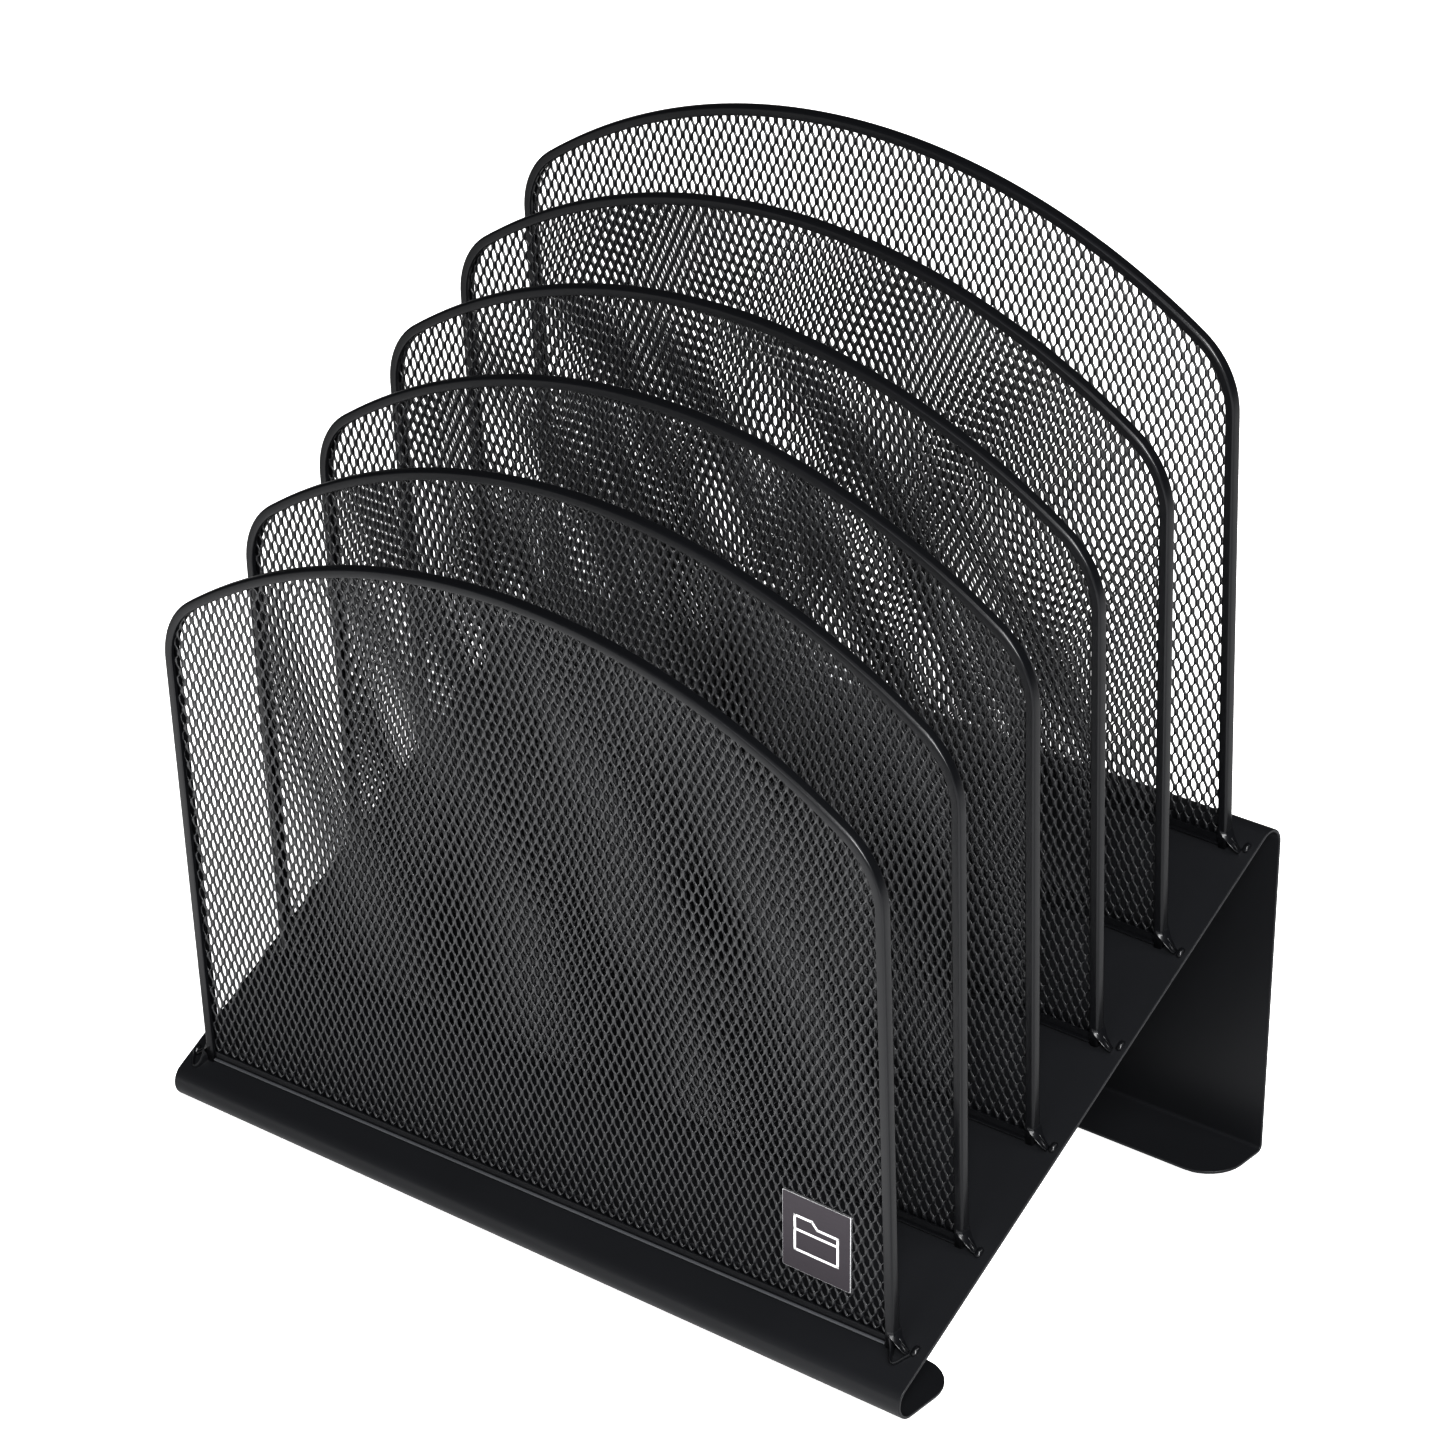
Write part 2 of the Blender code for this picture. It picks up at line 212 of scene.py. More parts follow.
# Coats: colour, roughness, size of the grain (metres), strength of its relief, specular level
COATS = {
    "coated_sheet": ((0.0128, 0.0134, 0.0152), 0.38, 0.00060, 0.10, 0.35),
    "coated_rim": ((0.0064, 0.0068, 0.0082), 0.30, 0.00050, 0.08, 0.40),
    "coated_mesh": ((0.0074, 0.0079, 0.0098), 0.34, 0.00040, 0.08, 0.85),
    # The next coat is pale: it paints a highlight on the front rail's rolled foot
    "painted_highlight_coat": ((0.060, 0.062, 0.067), 0.42, 0.00050, 0.08, 0.50),
    "rubber": ((0.010, 0.010, 0.010), 0.75, 0.00050, 0.25, 0.50),
}

# For every coat: noise scale of its uneven patches, how far they change its shade, how far the
# grain changes its roughness, and the depth of the grain's relief as a share of the grain's size
COAT_PATCHES = 22.0
COAT_SHADE = 0.15
COAT_GLOSS = 0.05
COAT_RELIEF = 0.15

# Brushed plates: colour, roughness, metallic; then the noise scales that stretch their streaks,
# and how far the streaks change the shade and the roughness
PLATES = {
    "badge": ((0.041, 0.035, 0.042), 0.36, 0.4),
    "badge_mark": ((0.72, 0.72, 0.72), 0.40, 0.1),
    "badge_edge": ((0.55, 0.55, 0.56), 0.28, 0.9),
}
STREAKS = (400.0, 400.0, 9000.0)
STREAK_SHADE = 0.2
STREAK_GLOSS = 0.06

# Studio: soft boxes (place, target, size, power) and the dim room round them. The card lies on the
# floor in front and lights the dividers from below
LIGHTS = {
    "key": ((1.7, -1.5, 1.9), (0, 0, 0.15), (1.3, 1.3), 165),
    "edge": ((1.1, 0.1, 1.85), (0, 0, 0.15), (0.6, 0.6), 26),
    "front": ((0.0, -2.8, 1.0), (0, 0, 0.15), (1.3, 1.3), 30),
    "card": ((0.0, -0.26, 0.001), (0.0, -0.26, 1.0), (0.80, 0.24), 0.8),
}
WORLD = 0.045

# Floor: half its width, its height, how much light it sends back, its roughness, and how bright it
# is by itself to the camera
FLOOR_HALF = 6.0
FLOOR_Z = -0.0002
FLOOR_WHITE = 0.8
FLOOR_ROUGHNESS = 0.9
FLOOR_GLOW = 0.92

# Gamma of the finished picture: below 1 its dark tones are darker
CONTRAST_GAMMA = 0.72

SLOPE_DIR = Vector((0, cos(TRAY_SLOPE), sin(TRAY_SLOPE)))
SLOPE_NORMAL = Vector((0, -sin(TRAY_SLOPE), cos(TRAY_SLOPE)))


# ---------------------------------------------------------------------------------------------
# Mesh helpers
# ---------------------------------------------------------------------------------------------

def arc(centre, radius, start, end, steps):
    """Points on a circle in a plane, from one angle to the other, both included."""
    angles = [start + (end - start) * i / steps for i in range(steps + 1)]
    return [(centre[0] + radius * cos(a), centre[1] + radius * sin(a)) for a in angles]


def mesh_from_bmesh(name, bm, smooth_angle=None):
    """A mesh, smooth up to an angle in degrees if there is one."""
    bmesh.ops.recalc_face_normals(bm, faces=bm.faces)
    mesh = bpy.data.meshes.new(name)
    bm.to_mesh(mesh)
    bm.free()
    if smooth_angle:
        mesh.shade_smooth()
        mesh.set_sharp_from_angle(angle=radians(smooth_angle))
    return mesh


def loft(name, rings, smooth_angle=40):
    """A closed body through rings of points, capped at both ends."""
    bm = bmesh.new()
    layers = [[bm.verts.new(point) for point in ring] for ring in rings]
    count = len(layers[0])
    for below, above in zip(layers, layers[1:]):
        for i in range(count):
            j = (i + 1) % count
            bm.faces.new((below[i], below[j], above[j], above[i]))
    bm.faces.new(layers[0][::-1])
    bm.faces.new(layers[-1])
    return mesh_from_bmesh(name, bm, smooth_angle)


def piece(name, mesh, mat, matrix, stands_for):
    """Show a copy of a mesh at a place, in the frame's own axes, for the CAD nodes it replaces."""
    placed = mesh.copy()
    placed.name = name
    placed.transform(matrix)
    obj = bpy.data.objects.new(name, placed)
    bpy.context.scene.collection.objects.link(obj)
    if not placed.materials:
        placed.materials.append(mat)
    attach(obj, "root")
    if stands_for:
        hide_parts(*stands_for)
    return obj


# ---------------------------------------------------------------------------------------------
# Materials
# ---------------------------------------------------------------------------------------------

def add_noise(mat, vector, scale, detail):
    """A noise in a material, over the given coordinates."""
    noise = mat.node_tree.nodes.new("ShaderNodeTexNoise")
    noise.inputs["Scale"].default_value = scale
    noise.inputs["Detail"].default_value = detail
    mat.node_tree.links.new(vector, noise.inputs["Vector"])
    return noise.outputs["Fac"]


def around(mat, noise, middle, swing):
    """A value that follows a noise, up to a swing above and below its middle."""
    node = mat.node_tree.nodes.new("ShaderNodeMapRange")
    node.inputs["To Min"].default_value = middle - swing
    node.inputs["To Max"].default_value = middle + swing
    mat.node_tree.links.new(noise, node.inputs["Value"])
    return node.outputs["Result"]


def set_finish(mat, colour, shade, roughness):
    """Give a material a colour, scaled by a shade, and a roughness."""
    links = mat.node_tree.links
    shader = mat.node_tree.nodes["Principled BSDF"]
    tint = mat.node_tree.nodes.new("ShaderNodeVectorMath")
    tint.operation = "SCALE"
    tint.inputs[0].default_value = colour
    links.new(shade, tint.inputs["Scale"])
    links.new(tint.outputs["Vector"], shader.inputs["Base Color"])
    links.new(roughness, shader.inputs["Roughness"])


def powder_coat(name, colour, roughness, grain, bump, specular):
    """Satin powder coat: fine orange-peel texture with slightly uneven gloss and shade."""
    mat = bpy.data.materials.new(name)
    mat.use_nodes = True
    nodes, links = mat.node_tree.nodes, mat.node_tree.links
    shader = nodes["Principled BSDF"]
    shader.inputs["Specular IOR Level"].default_value = specular
    where = nodes.new("ShaderNodeTexCoord").outputs["Object"]
    fine = add_noise(mat, where, 1.0 / grain, 3.0)
    patches = add_noise(mat, where, COAT_PATCHES, 2.0)
    set_finish(mat, colour, around(mat, patches, 1.0, COAT_SHADE),
               around(mat, fine, roughness, COAT_GLOSS))
    relief = nodes.new("ShaderNodeBump")
    relief.inputs["Strength"].default_value = bump
    relief.inputs["Distance"].default_value = grain * COAT_RELIEF
    links.new(fine, relief.inputs["Height"])
    links.new(relief.outputs["Normal"], shader.inputs["Normal"])
    return mat


def brushed(name, colour, roughness, metallic):
    """Brushed plate: fine streaks along one direction."""
    mat = bpy.data.materials.new(name)
    mat.use_nodes = True
    nodes, links = mat.node_tree.nodes, mat.node_tree.links
    nodes["Principled BSDF"].inputs["Metallic"].default_value = metallic
    where = nodes.new("ShaderNodeTexCoord")
    stretch = nodes.new("ShaderNodeMapping")
    stretch.inputs["Scale"].default_value = STREAKS
    links.new(where.outputs["Object"], stretch.inputs["Vector"])
    streaks = add_noise(mat, stretch.outputs["Vector"], 1.0, 4.0)
    set_finish(mat, colour, around(mat, streaks, 1.0, STREAK_SHADE),
               around(mat, streaks, roughness, STREAK_GLOSS))
    return mat


MATS = {name: powder_coat(name, *values) for name, values in COATS.items()}
MATS.update({name: brushed(name, *values) for name, values in PLATES.items()})


# ---------------------------------------------------------------------------------------------
# Base sheet
# ---------------------------------------------------------------------------------------------

def base_bends():
    """Centres (y, z) of the three bends, from the outer faces they join."""
    front = Vector((FRONT_Y + FRONT_BEND_RADIUS, SHEET_BOTTOM + FRONT_BEND_RADIUS))
    rear_y = REAR_Y - REAR_BEND_RADIUS
    rise = (rear_y - front.x) * tan(TRAY_SLOPE)
    difference = (FRONT_BEND_RADIUS - REAR_BEND_RADIUS) / cos(TRAY_SLOPE)
    rear = Vector((rear_y, front.y + rise + difference))
    leg = Vector((REAR_Y - LEG_BEND_RADIUS, SHEET_BOTTOM + LEG_BEND_RADIUS))
    return front, rear, leg


def tray_top(y):
    """Height of the tray's top face at a depth y."""
    front = base_bends()[0]
    touch = front + FRONT_BEND_RADIUS * Vector((-sin(TRAY_SLOPE), cos(TRAY_SLOPE)))
    return touch.y + (y - touch.x) * tan(TRAY_SLOPE)


def flange_half_width(along):
    """Half width of a flange at a distance from its free edge, with a rounded corner."""
    half = SHEET_WIDTH / 2
    if along >= FLANGE_CORNER:
        return half
    inside = FLANGE_CORNER - along
    return half - FLANGE_CORNER + sqrt(FLANGE_CORNER ** 2 - inside ** 2)


def base_outline(bend_steps, corner_steps):
    """Rows (y, z, half width) of the sheet's outer face, from the front flange to the rear one."""
    front, rear, leg = base_bends()
    half = SHEET_WIDTH / 2
    stations = [FLANGE_CORNER * (1 - cos(pi / 2 * i / corner_steps))
                for i in range(corner_steps + 1)]
    free_front = FRONT_Y + FRONT_FLANGE
    rows = [(free_front - d, SHEET_BOTTOM, flange_half_width(d)) for d in stations]
    curl = arc(front, FRONT_BEND_RADIUS, -pi / 2, -3 * pi / 2 + TRAY_SLOPE, bend_steps + 8)
    crest = arc(rear, REAR_BEND_RADIUS, pi / 2 + TRAY_SLOPE, 0, bend_steps)
    heel = arc(leg, LEG_BEND_RADIUS, 0, -pi / 2, bend_steps)
    rows += [(y, z, half) for y, z in curl + crest + heel]
    free_rear = REAR_Y - REAR_FLANGE
    rows += [(free_rear + d, SHEET_BOTTOM, flange_half_width(d)) for d in reversed(stations)]
    return rows


def make_base():
    """The folded sheet: its outer face, given its thickness and softened edges."""
    bm = bmesh.new()
    previous = None
    for y, z, half in base_outline(bend_steps=14, corner_steps=8):
        pair = [bm.verts.new((side * half, y, z)) for side in (-1, 1)]
        if previous:
            bm.faces.new((previous[0], previous[1], pair[1], pair[0]))
        previous = pair
    mesh = mesh_from_bmesh("base_tray_fine", bm)
    mesh.shade_smooth()
    obj = piece("base_tray_fine", mesh, MATS["coated_sheet"], Matrix(), ["base_tray"])
    solid = obj.modifiers.new("thickness", "SOLIDIFY")
    solid.thickness = SHEET_THICK
    solid.offset = -1.0
    solid.use_even_offset = True
    edge = obj.modifiers.new("edges", "BEVEL")
    edge.width = SHEET_EDGE
    edge.segments = 3
    edge.limit_method = "ANGLE"
    edge.angle_limit = radians(60)
    edge.harden_normals = True


# ---------------------------------------------------------------------------------------------
# Divider shapes, drawn in the divider's own plane: x across, z up its face, y through it
# ---------------------------------------------------------------------------------------------

def outline_points(shoulder_steps, arch_steps):
    """Points and outward normals (x, z, nx, nz) of the arch, from left shoulder to right."""
    half = DIVIDER_WIDTH / 2
    sagitta = APEX_HEIGHT - SHOULDER_HEIGHT
    big = (half ** 2 + sagitta ** 2) / (2 * sagitta)
    big_z = APEX_HEIGHT - big
    small_x = half - SHOULDER_RADIUS
    small_z = big_z + sqrt((big - SHOULDER_RADIUS) ** 2 - small_x ** 2)
    meet = atan2(small_z - big_z, small_x)
    right = []
    for i in range(shoulder_steps + 1):
        a = meet * i / shoulder_steps
        right.append((small_x + SHOULDER_RADIUS * cos(a), small_z + SHOULDER_RADIUS * sin(a),
                      cos(a), sin(a)))
    for i in range(1, arch_steps + 1):
        a = meet + (pi / 2 - meet) * i / arch_steps
        right.append((big * cos(a), big_z + big * sin(a), cos(a), sin(a)))
    left = [(-x, z, -nx, nz) for x, z, nx, nz in right]
    return left + right[-2::-1]


def divider_stand(index):
    """Where a divider's foot is and how it is turned on the tray, before it leans."""
    shift, turn, _ = DIVIDER_SET[index]
    y = FRONT_Y + FIRST_DIVIDER + index * DIVIDER_PITCH * cos(TRAY_SLOPE)
    foot = Vector((shift, y, tray_top(y)))
    return Matrix.Translation(foot) @ Matrix.Rotation(radians(turn), 4, SLOPE_NORMAL)


def divider_place(index):
    """Where a divider is and how it is turned, with its lean."""
    lean = radians(DIVIDER_LEAN + DIVIDER_SET[index][2])
    return divider_stand(index) @ Matrix.Rotation(lean, 4, "X")


def rim_profile():
    """Section of the rolled edging: (distance in from the outer face, through the divider)."""
    d = RIM_DEPTH / 2
    w = RIM_WIDTH
    rear = RIM_REAR_RADIUS
    front = RIM_FRONT_RADIUS
    lip = RIM_LIP_RADIUS
    turn = np.linspace(0, pi / 2, 6)
    outer_rear = [(rear - rear * cos(a), d - rear + rear * sin(a)) for a in turn]
    inner_rear = [(w - lip + lip * sin(a), d - lip + lip * cos(a)) for a in turn]
    mouth = [(w, MOUTH_HALF), (w - MOUTH_FLARE, SLOT_HALF), (w - SLOT_DEPTH, SLOT_HALF)]
    mouth += [(u, -v) for u, v in reversed(mouth)]
    inner_front = [(w - lip + lip * cos(a), -d + lip - lip * sin(a)) for a in turn]
    outer_front = [(front - front * sin(a), -d + front - front * cos(a)) for a in turn]
    return outer_rear + inner_rear + mouth + inner_front + outer_front


def make_rim_mesh():
    """The edging along the whole outline, from foot to foot."""
    arch = outline_points(shoulder_steps=14, arch_steps=30)
    side = DIVIDER_WIDTH / 2
    left = [(-side, z, -1.0, 0.0) for z in SIDE_STOPS]
    right = [(side, z, 1.0, 0.0) for z in reversed(SIDE_STOPS)]
    rings = []
    for x, z, nx, nz in left + arch + right:
        rings.append([(x - nx * u, v, z - nz * u) for u, v in rim_profile()])
    mesh = loft("rim_fine", rings, 35)
    trim_at_tray(mesh)
    return mesh


def trim_at_tray(mesh):
    """Cut a divider's mesh along the tray's face, and close the cut."""
    normal = Matrix.Rotation(-radians(DIVIDER_LEAN), 3, "X") @ SLOPE_NORMAL
    bm = bmesh.new()
    bm.from_mesh(mesh)
    bmesh.ops.bisect_plane(bm, geom=bm.verts[:] + bm.edges[:] + bm.faces[:],
                           plane_co=(0, 0, 0), plane_no=normal, clear_inner=True)
    bmesh.ops.holes_fill(bm, edges=bm.edges)
    bm.to_mesh(mesh)
    bm.free()


def rail_floor():
    """Height of the rail's underside: its rear corner is the one nearest the rising tray."""
    rise = tan(TRAY_SLOPE + radians(DIVIDER_LEAN))
    return RAIL_DEPTH / 2 * rise + RAIL_GAP


def along_rail(name, section, half):
    """A bar with a given section (y, z), z from the rail's underside, and a given half length."""
    low = rail_floor()
    stops = (-half, -half / 3, half / 3, half)
    return loft(name, [[(x, y, low + z) for y, z in section] for x in stops], 40)


def make_rail_mesh():
    """Strip folded round the lower edge of the expanded metal.

    It is low in front and higher behind. The front wall reaches down to the tray, and its edge is
    rolled forwards.
    """
    d = RAIL_DEPTH / 2
    inner = d - RAIL_WALL
    r = RAIL_FOLD
    turn = np.linspace(0, pi / 2, 6)
    centre, radius = RAIL_ROLL
    section = [(-d + RAIL_CHAMFER, RAIL_FRONT), (-d, RAIL_FRONT - RAIL_CHAMFER),
               (-d, centre[1] + radius)]
    section += arc(centre, radius, radians(60), radians(330), 12)
    section += [(-inner, centre[1]), (-inner, 0.0)]
    section += [(d - r + r * sin(a), r - r * cos(a)) for a in turn]
    section += [(d, RAIL_BACK), (inner, RAIL_BACK), (inner, RAIL_WALL), (-inner, RAIL_WALL),
                (-inner, RAIL_FRONT)]
    return along_rail("rail_fine", section, DIVIDER_WIDTH / 2 - RIM_WIDTH + RAIL_IN_RIM)


def make_rail_painted_highlight_mesh():
    """Painted highlight on the front rail's rolled foot, a little paler than the coat round it."""
    centre, radius = RAIL_ROLL
    section = arc(centre, radius + HIGHLIGHT_PROUD, HIGHLIGHT_START, HIGHLIGHT_END, 12)
    section += arc(centre, radius - HIGHLIGHT_DEPTH, HIGHLIGHT_END, HIGHLIGHT_START, 6)
    return along_rail("rail_painted_highlight_fine", section, DIVIDER_WIDTH / 2 - RIM_WIDTH - HIGHLIGHT_SHORT)


# ---------------------------------------------------------------------------------------------
# Expanded metal
# ---------------------------------------------------------------------------------------------

def face_quads(first, flip):
    """The four quads of a bond's 3 by 3 face, from the number of its first corner."""
    quads = []
    for row in range(2):
        for column in range(2):
            a = first + row * 3 + column
            quad = (a, a + 1, a + 4, a + 3)
            quads.append(quad[::-1] if flip else quad)
    return quads


def lattice_arrays(knots):
    """Corner points and quads of the staggered lattice of bonds and strands, both faces."""
    w = STRAND_WIDTH
    h = BOND_LENGTH / 2
    back = FACE_CORNERS
    tilt = tan(STRAND_TWIST)
    grid = [(dx, dz) for dz in (-h, 0, h) for dx in (-w, 0, w)]
    verts = []
    quads = []
    for x, z, s in knots.values():
        for side in (-1, 1):
            for dx, dz in grid:
                peak = side < 0 and dx == 0 and dz == 0
                crown, up = (BOND_CROWN, CROWN_UP) if peak else (0, 0)
                verts.append((x + dx, side * MESH_GAUGE / 2 + dx * tilt - crown, z + dz + up))
        quads += face_quads(s, False) + face_quads(s + back, True)
        for low, high in ((s, s + 3), (s + 3, s + 6)):
            quads.append((high, low, low + back, high + back))
            quads.append((low + 2, high + 2, high + 2 + back, low + 2 + back))
    for (column, row), (_, _, s) in knots.items():
        for step, mine, theirs in ((-1, 6, 1), (1, 7, 0)):
            above = knots.get((column + step, row + 1))
            a = s + mine
            if above is None:
                quads.append((a, a + 1, a + 1 + back, a + back))
                continue
            b = above[2] + theirs
            quads.append((a, a + 1, b + 1, b))
            quads.append((a + 1 + back, a + back, b + back, b + 1 + back))
            quads.append((a, b, b + back, a + back))
            quads.append((a + 1, a + 1 + back, b + 1 + back, b + 1))
        for step, mine in ((-1, 0), (1, 1)):
            if (column + step, row - 1) not in knots:
                a = s + mine
                quads.append((a + 1, a, a + back, a + 1 + back))
    return verts, quads


def panel_cuts():
    """Lines (point, outward direction) that bound a panel, a little inside the edging's groove."""
    inset = RIM_WIDTH - MESH_EDGE_IN_RIM
    outline = outline_points(shoulder_steps=5, arch_steps=8)
    arch = [(x - nx * inset, z - nz * inset) for x, z, nx, nz in outline]
    cuts = []
    for (x0, z0), (x1, z1) in zip(arch, arch[1:]):
        cuts.append((Vector((x0, 0, z0)), Vector((z0 - z1, 0, x1 - x0)).normalized()))
    side = DIVIDER_WIDTH / 2 - inset
    cuts.append((Vector((-side, 0, 0)), Vector((-1, 0, 0))))
    cuts.append((Vector((side, 0, 0)), Vector((1, 0, 0))))
    cuts.append((Vector((0, 0, rail_floor() + MESH_ABOVE_RAIL)), Vector((0, 0, -1))))
    return cuts


def panel_knots(cuts, skew, across, up):
    """Bonds that a panel needs, by (column, row): x, z and the number of its first corner.

    It looks through a few rows and columns more than the panel has, because of the skew.
    """
    columns = int(DIVIDER_WIDTH / MESH_ACROSS) + 6
    rows = int(2 * APEX_HEIGHT / MESH_UP) + 4
    knots = {}
    for row in range(-2, rows):
        z = up + row * MESH_UP / 2
        for column in range(-columns, columns + 1):
            if (column + row) % 2:
                continue
            x = across + column * MESH_ACROSS / 2 + z * tan(radians(skew))
            point = Vector((x, 0, z))
            if all((point - co).dot(no) < MESH_UP for co, no in cuts):
                knots[(column, row)] = (x, z, len(knots) * BOND_CORNERS)
    return knots


def bow_panel(mesh, bow):
    """Push the middle of a panel out of its plane; its edges stay in the edging."""
    half = DIVIDER_WIDTH / 2
    coords = np.empty(len(mesh.vertices) * 3)
    mesh.vertices.foreach_get("co", coords)
    coords = coords.reshape(-1, 3)
    across = 1 - (coords[:, 0] / half) ** 2
    top = SHOULDER_HEIGHT + (APEX_HEIGHT - SHOULDER_HEIGHT) * across
    up = np.sin(pi * np.clip(coords[:, 2] / top, 0, 1))
    coords[:, 1] -= bow * np.clip(across, 0, 1) * up
    mesh.vertices.foreach_set("co", coords.ravel())


def cut_border(verts, quads, cuts):
    """The outermost part of the lattice, cut along the lines, with the cut ends closed."""
    mesh = bpy.data.meshes.new("border")
    mesh.from_pydata(verts, [], quads)
    bm = bmesh.new()
    bm.from_mesh(mesh)
    sliced = set()
    for co, no in cuts:
        geom = {f for f in bm.faces if (f.verts[0].co - co).dot(no) > -MESH_UP / 2}
        for face in list(geom):
            geom.update(face.edges)
            geom.update(face.verts)
        result = bmesh.ops.bisect_plane(bm, geom=list(geom), plane_co=co, plane_no=no,
                                        clear_outer=True)
        sliced.update(g for g in result["geom_cut"] if isinstance(g, bmesh.types.BMEdge))
    ends = [e for e in sliced if e.is_valid and e.is_boundary]
    bmesh.ops.holes_fill(bm, edges=ends)
    return bm


def make_expanded_mesh(name, skew, across, up, bow):
    """The lattice, cut to the arch: only its border needs cutting."""
    cuts = panel_cuts()
    verts, quads = lattice_arrays(panel_knots(cuts, skew, across, up))
    quads = np.array(quads)
    corners = np.array(verts)[quads[:, 0]]
    depth = np.full(len(quads), -1.0)
    for co, no in cuts:
        depth = np.maximum(depth, (corners - np.array(co)) @ np.array(no))
    inner = depth < -MESH_UP
    bm = cut_border(verts, quads[~inner].tolist(), cuts)
    mesh = bpy.data.meshes.new(name)
    mesh.from_pydata(verts, [], quads[inner].tolist())
    bm.from_mesh(mesh)
    seam = {v for e in bm.edges if e.is_boundary for v in e.verts}
    bmesh.ops.remove_doubles(bm, verts=list(seam), dist=PANEL_WELD)
    loose = [v for v in bm.verts if not v.link_faces]
    bmesh.ops.delete(bm, geom=loose, context="VERTS")
    bmesh.ops.recalc_face_normals(bm, faces=bm.faces)
    bm.to_mesh(mesh)
    bm.free()
    bow_panel(mesh, bow)
    mesh.shade_smooth()
    return mesh


# ---------------------------------------------------------------------------------------------
# Splayed, welded ends of the edging
# ---------------------------------------------------------------------------------------------

def channel(width, rise, floor):
    """Open channel, seen along its length: (across, towards the open side).

    The walls thicken a little towards the floor, and the floor thins a little in its middle.
    """
    w = width / 2
    t = TAB_WALL
    wall = [(w, 0.0), (w, rise - t / 2), (w - t / 2, rise), (w - t, rise - t / 2),
            (w - t * 1.2, floor)]
    return [(-a, d) for a, d in wall] + [(0.0, floor * 0.8)] + wall[::-1]


def make_tab_mesh(name, sign):
    """Foot of the edging: the channel bends outwards, flattens, and rests on the tray.

    Stations: out from the edging, up the leg, bend (degrees), width, depth, thickness of floor.
    """
    lean = radians(DIVIDER_LEAN)
    leg_up = Vector((0, -sin(lean), cos(lean)))
    leg_back = Vector((0, cos(lean), sin(lean)))
    stations = (
        (-0.0003, 0.0064, 0, 0.0034, 0.0022, 0.0006),
        (-0.0001, 0.0054, 6, 0.0038, 0.0026, 0.0006),
        (0.0004, 0.0043, 26, 0.0038, 0.0028, 0.0006),
        (0.0012, 0.0031, 42, 0.0034, 0.0026, 0.0006),
        (0.0022, 0.0019, 48, 0.0029, 0.0022, 0.0006),
        (0.0032, 0.0009, 58, 0.0026, 0.0018, 0.0006),
        (0.0041, 0.0003, 76, 0.0024, 0.0014, 0.0005),
        (0.0049, 0.0001, 88, 0.0019, 0.0010, 0.0005),
    )
    rings = []
    for out, up, bend, width, depth, floor in stations:
        angle = radians(bend)
        outward = Vector((sign, 0, 0))
        open_side = SLOPE_NORMAL * sin(angle) - outward * cos(angle)
        across = (leg_back * cos(angle) + SLOPE_DIR * sin(angle)).normalized()
        centre = outward * (DIVIDER_WIDTH / 2 + out) + leg_up * up
        centre -= SLOPE_DIR * TAB_FORWARD * sin(angle) ** 2
        rings.append([centre + across * a + open_side * d
                      for a, d in channel(width, depth, floor)])
    return loft(name, rings, 40)


def make_lip_mesh(name, sign):
    """The front divider's feet are also opened forwards: the channel's wall curls round as a lip.

    Stations: out from the edging, uphill along the tray, height above the tray.
    """
    stations = (
        (-0.0004, -0.0014, 0.0056),
        (0.0001, -0.0026, 0.0038),
        (0.0005, -0.0040, 0.0024),
        (0.0010, -0.0053, 0.0017),
        (0.0017, -0.0062, 0.0014),
        (0.0026, -0.0063, 0.0013),
        (0.0036, -0.0052, 0.0013),
        (0.0047, -0.0034, 0.0014),
        (0.0058, -0.0018, 0.0015),
    )
    wall = LIP_WALL
    spots = [Vector((out, along)) for out, along, _ in stations]
    rings = []
    for i, (spot, (_, _, height)) in enumerate(zip(spots, stations)):
        ahead = spots[min(i + 1, len(spots) - 1)] - spots[max(i - 1, 0)]
        side = Vector((-ahead.y, ahead.x)).normalized() * wall
        section = ((side, 0.0), (side, height - wall), (side * 0, height), (-side, height - wall),
                   (-side, 0.0))
        ring = []
        for offset, up in section:
            flat = spot + offset
            x = sign * (DIVIDER_WIDTH / 2 + flat.x)
            ring.append(Vector((x, 0, 0)) + SLOPE_DIR * flat.y + SLOPE_NORMAL * up)
        rings.append(ring)
    return loft(name, rings, 60)


def make_bead_mesh():
    """A flat, slightly lumpy bead of weld under the coating, long in y."""
    bm = bmesh.new()
    bmesh.ops.create_uvsphere(bm, u_segments=20, v_segments=12, radius=1.0)
    for vert in bm.verts:
        x, y, z = vert.co
        lump = 1 + 0.08 * sin(4 * x + 1.3) * cos(5 * y) + 0.05 * sin(9 * y + 2 * z)
        vert.co = Vector((BEAD_SIZE[0] * x, BEAD_SIZE[1] * y, BEAD_SIZE[2] * z)) * lump
    return mesh_from_bmesh("bead_fine", bm, 80)


def make_dividers():
    """Edging, rail and panel of every divider, and the front rail's painted highlight."""
    rim = make_rim_mesh()
    rail = make_rail_mesh()
    coat = MATS["coated_rim"]
    # The front rail's foot gets a pale strip, a painted highlight
    piece("rail_fine_1_painted_highlight", make_rail_painted_highlight_mesh(), MATS["painted_highlight_coat"], divider_place(0), [])
    for index, (skew, across, up, bow) in enumerate(PANEL_SET):
        n = index + 1
        place = divider_place(index)
        panel = make_expanded_mesh(f"expanded_metal_{n}", skew, across, up, bow)
        piece(f"rim_fine_{n}", rim, coat, place, [f"divider_rim_{n}"])
        piece(f"rail_fine_{n}", rail, coat, place, [f"divider_rail_{n}"])
        piece(f"expanded_metal_{n}", panel, MATS["coated_mesh"], place,
              [f"divider_mesh_{n}"])


